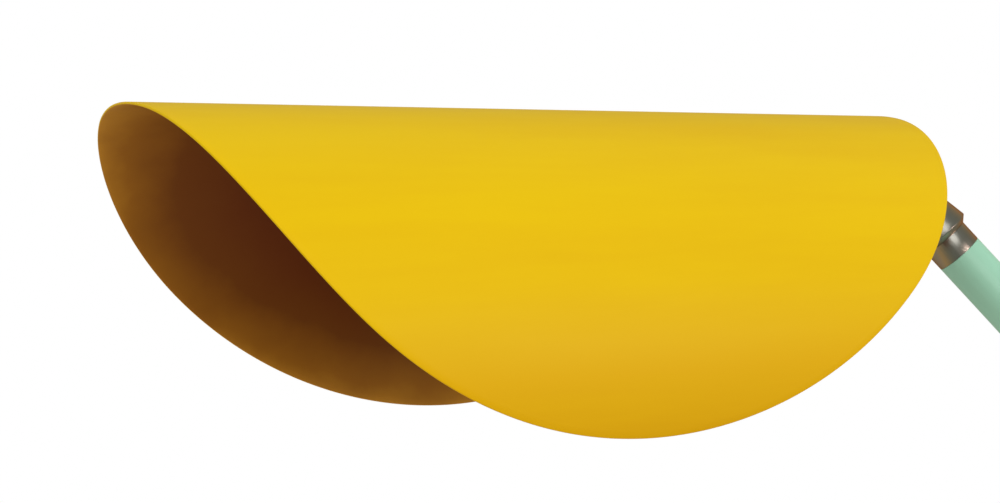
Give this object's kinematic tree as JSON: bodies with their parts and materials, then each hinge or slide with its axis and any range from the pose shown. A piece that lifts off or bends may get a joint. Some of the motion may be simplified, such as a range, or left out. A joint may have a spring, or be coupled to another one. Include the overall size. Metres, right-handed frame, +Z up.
{
  "type": "emergency safety shower",
  "caption": "Wall-mounted emergency safety shower: bent-disc hood over a rose, on a ball joint at the end of a sloping supply arm, with a stay-open valve and pull handle.",
  "frame": {"origin": "centre of the wall plate's back face, on the wall", "axes": "+X into the wall, +Z up, so the arm and hood stand out along -X; Y along the wall"},
  "size_m": [0.8603, 0.4831, 0.9786],
  "materials": {
    "mint_coat": "semi-gloss powder coat",
    "polished_steel": "polished",
    "ptfe": "matt",
    "rubber": "matt",
    "stainless": "satin",
    "yellow_coat": "semi-gloss powder coat",
    "zinc": "bright zinc plate"
  },
  "bodies": {
    "wall_frame": {"wall_plate": "mint_coat", "clamp_standoffs": "mint_coat", "clamp_liners": "rubber", "clamp_back_upper": "zinc", "clamp_front_upper": "zinc", "clamp_back_lower": "zinc", "clamp_front_lower": "zinc", "clamp_bolts": "zinc", "inlet_nipple": "mint_coat", "inlet_socket": "stainless", "valve_body": "stainless", "valve_cap_upper": "stainless", "valve_cap_lower": "stainless", "valve_seats": "ptfe", "valve_bolts": "zinc", "stem_packing": "ptfe", "gland_nut": "stainless", "union_lower": "stainless", "union_gasket": "rubber", "union_upper": "stainless", "union_nut": "stainless", "supply_arm": "mint_coat", "joint_ferrule": "polished_steel", "ball_seal": "rubber", "collar_nut": "polished_steel"},
    "seat_ring": {"front_seat": "ptfe"},
    "head": {"hood": "yellow_coat", "hood_weld_studs": "stainless", "saddle_pads": "rubber", "saddle_front": "mint_coat", "saddle_rear": "mint_coat", "saddle_cap_front": "mint_coat", "saddle_cap_rear": "mint_coat", "saddle_screws": "zinc", "stud_nuts": "zinc", "ball_stem": "polished_steel", "feed_pipe": "mint_coat", "feed_tee": "stainless", "stub_pipe": "mint_coat", "stub_cap": "stainless", "rose_nipple": "mint_coat", "rose_body": "stainless", "rose_gasket": "rubber", "rose_plate": "stainless", "rose_screws": "zinc", "flow_disc": "ptfe"},
    "lever": {"valve_ball": "polished_steel", "valve_stem": "stainless", "lever_arm": "stainless", "lever_nut": "zinc", "rod_pin": "stainless"},
    "rod": {"rod_eye": "stainless", "pull_rod": "stainless", "rod_nuts": "zinc", "pull_handle": "yellow_coat"}
  },
  "joints": [
    {"name": "head_swivel", "type": "hinge", "parent": "wall_frame", "child": "seat_ring", "pos_m": [-0.34202, 0, 0.52984], "axis": [-0.6561, 0, 0.7547], "range_deg": [-20, 20]},
    {"name": "head_tilt", "type": "hinge", "parent": "seat_ring", "child": "head", "pos_m": [-0.34202, 0, 0.52984], "axis": [-0.5736, 0.8192, 0], "range_deg": [-6, 10]},
    {"name": "valve_turn", "type": "hinge", "parent": "wall_frame", "child": "lever", "pos_m": [-0.078, 0, 0], "axis": [0, -1, 0], "range_deg": [0, 90]},
    {"name": "rod_swing", "type": "hinge", "parent": "lever", "child": "rod", "pos_m": [-0.18407, -0.063, 0.10607], "axis": [0, -1, 0], "range_deg": [-90, 0]}
  ],
  "couplings": [
    {"joint": "rod_swing", "follows": "valve_turn", "ratio": -1}
  ]
}
